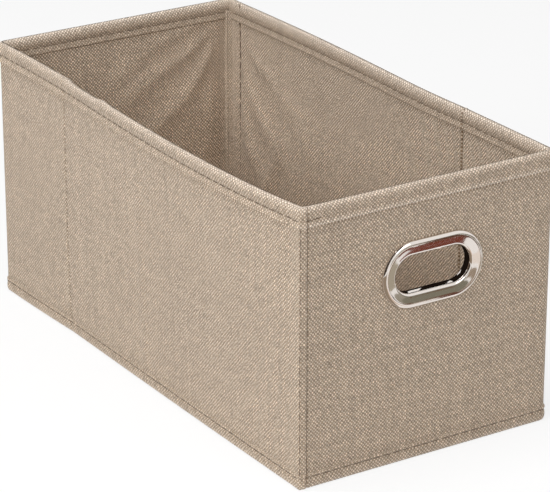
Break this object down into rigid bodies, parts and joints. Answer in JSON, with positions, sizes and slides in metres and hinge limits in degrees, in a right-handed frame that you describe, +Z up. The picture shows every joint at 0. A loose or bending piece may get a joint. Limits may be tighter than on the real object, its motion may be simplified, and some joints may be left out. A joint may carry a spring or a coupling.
{
  "type": "folding storage basket",
  "caption": "Open-topped rectangular fabric storage basket on stiff wall boards, with an oval metal handle eyelet in one end wall; folds flat once its base insert is lifted out.",
  "frame": {"origin": "bottom centre of the basket, on the surface that it stands on", "axes": "+Z up; the end wall with the handle faces -Y; +Y is the basket's length; +X is to the right seen from the handle's side"},
  "size_m": [0.155, 0.3117, 0.15],
  "materials": {
    "outer_cloth": "linen-look woven polyester, beige taupe",
    "lining_cloth": "linen-look woven polyester, beige taupe, unlit side",
    "binding_tape": "the same cloth cut as binding tape, one stitched row",
    "greyboard": "uncoated grey pasteboard",
    "polished_chrome": "polished chrome plate on pressed steel"
  },
  "bodies": {
    "left_front_wall": {"left_front_board": "greyboard", "left_front_outer_cloth": "outer_cloth", "left_front_lining": "lining_cloth", "left_front_rim_tape": "binding_tape", "left_front_hem_tape": "binding_tape", "bottom_cloth": "lining_cloth"},
    "front_wall": {"front_board": "greyboard", "front_outer_cloth": "outer_cloth", "front_lining": "lining_cloth", "front_rim_tape": "binding_tape", "front_hem_tape": "binding_tape", "handle_eyelet": "polished_chrome", "handle_clamp_ring": "polished_chrome", "front_left_corner_strip": "outer_cloth", "front_right_corner_strip": "outer_cloth"},
    "left_rear_wall": {"left_rear_board": "greyboard", "left_rear_outer_cloth": "outer_cloth", "left_rear_lining": "lining_cloth", "left_rear_rim_tape": "binding_tape", "left_rear_hem_tape": "binding_tape", "left_crease_strip": "outer_cloth"},
    "back_wall": {"back_board": "greyboard", "back_outer_cloth": "outer_cloth", "back_lining": "lining_cloth", "back_rim_tape": "binding_tape", "back_hem_tape": "binding_tape", "back_left_corner_strip": "outer_cloth"},
    "right_rear_wall": {"right_rear_board": "greyboard", "right_rear_outer_cloth": "outer_cloth", "right_rear_lining": "lining_cloth", "right_rear_rim_tape": "binding_tape", "right_rear_hem_tape": "binding_tape", "back_right_corner_strip": "outer_cloth"},
    "right_front_wall": {"right_front_board": "greyboard", "right_front_outer_cloth": "outer_cloth", "right_front_lining": "lining_cloth", "right_front_rim_tape": "binding_tape", "right_front_hem_tape": "binding_tape", "right_crease_strip": "outer_cloth"},
    "base_insert": {"base_board": "greyboard", "base_cover": "lining_cloth"}
  },
  "joints": [
    {"name": "front_left_corner_fold", "type": "hinge", "parent": "left_front_wall", "child": "front_wall", "pos_m": [-0.06875, -0.14625, 0], "axis": [0, 0, 1], "range_deg": [0, 90], "deforming": ["front_left_corner_strip", "front_right_corner_strip", "front_hem_tape", "bottom_cloth"]},
    {"name": "left_crease_fold", "type": "hinge", "parent": "left_front_wall", "child": "left_rear_wall", "pos_m": [-0.07765, 0.079, 0], "axis": [0, 0, 1], "range_deg": [0, 180], "deforming": ["left_crease_strip", "left_rear_hem_tape"]},
    {"name": "back_left_corner_fold", "type": "hinge", "parent": "left_rear_wall", "child": "back_wall", "pos_m": [-0.07305, 0.15055, 0], "axis": [0, 0, 1], "range_deg": [-90, 0], "deforming": ["back_left_corner_strip", "back_hem_tape"]},
    {"name": "back_right_corner_fold", "type": "hinge", "parent": "back_wall", "child": "right_rear_wall", "pos_m": [0.06875, 0.14625, 0], "axis": [0, 0, 1], "range_deg": [-90, 0], "deforming": ["back_right_corner_strip", "right_rear_hem_tape"]},
    {"name": "right_crease_fold", "type": "hinge", "parent": "right_rear_wall", "child": "right_front_wall", "pos_m": [0.07765, -0.079, 0], "axis": [0, 0, 1], "range_deg": [0, 180], "deforming": ["right_crease_strip", "right_front_hem_tape"]},
    {"name": "base_insert_lift", "type": "slide", "parent": "left_front_wall", "child": "base_insert", "axis": [0, 0, 1], "range_m": [0, 0.2]}
  ],
  "couplings": [
    {"joint": "left_crease_fold", "follows": "front_left_corner_fold", "ratio": 2},
    {"joint": "back_left_corner_fold", "follows": "front_left_corner_fold", "ratio": -1},
    {"joint": "back_right_corner_fold", "follows": "front_left_corner_fold", "ratio": -1},
    {"joint": "right_crease_fold", "follows": "front_left_corner_fold", "ratio": 2}
  ]
}
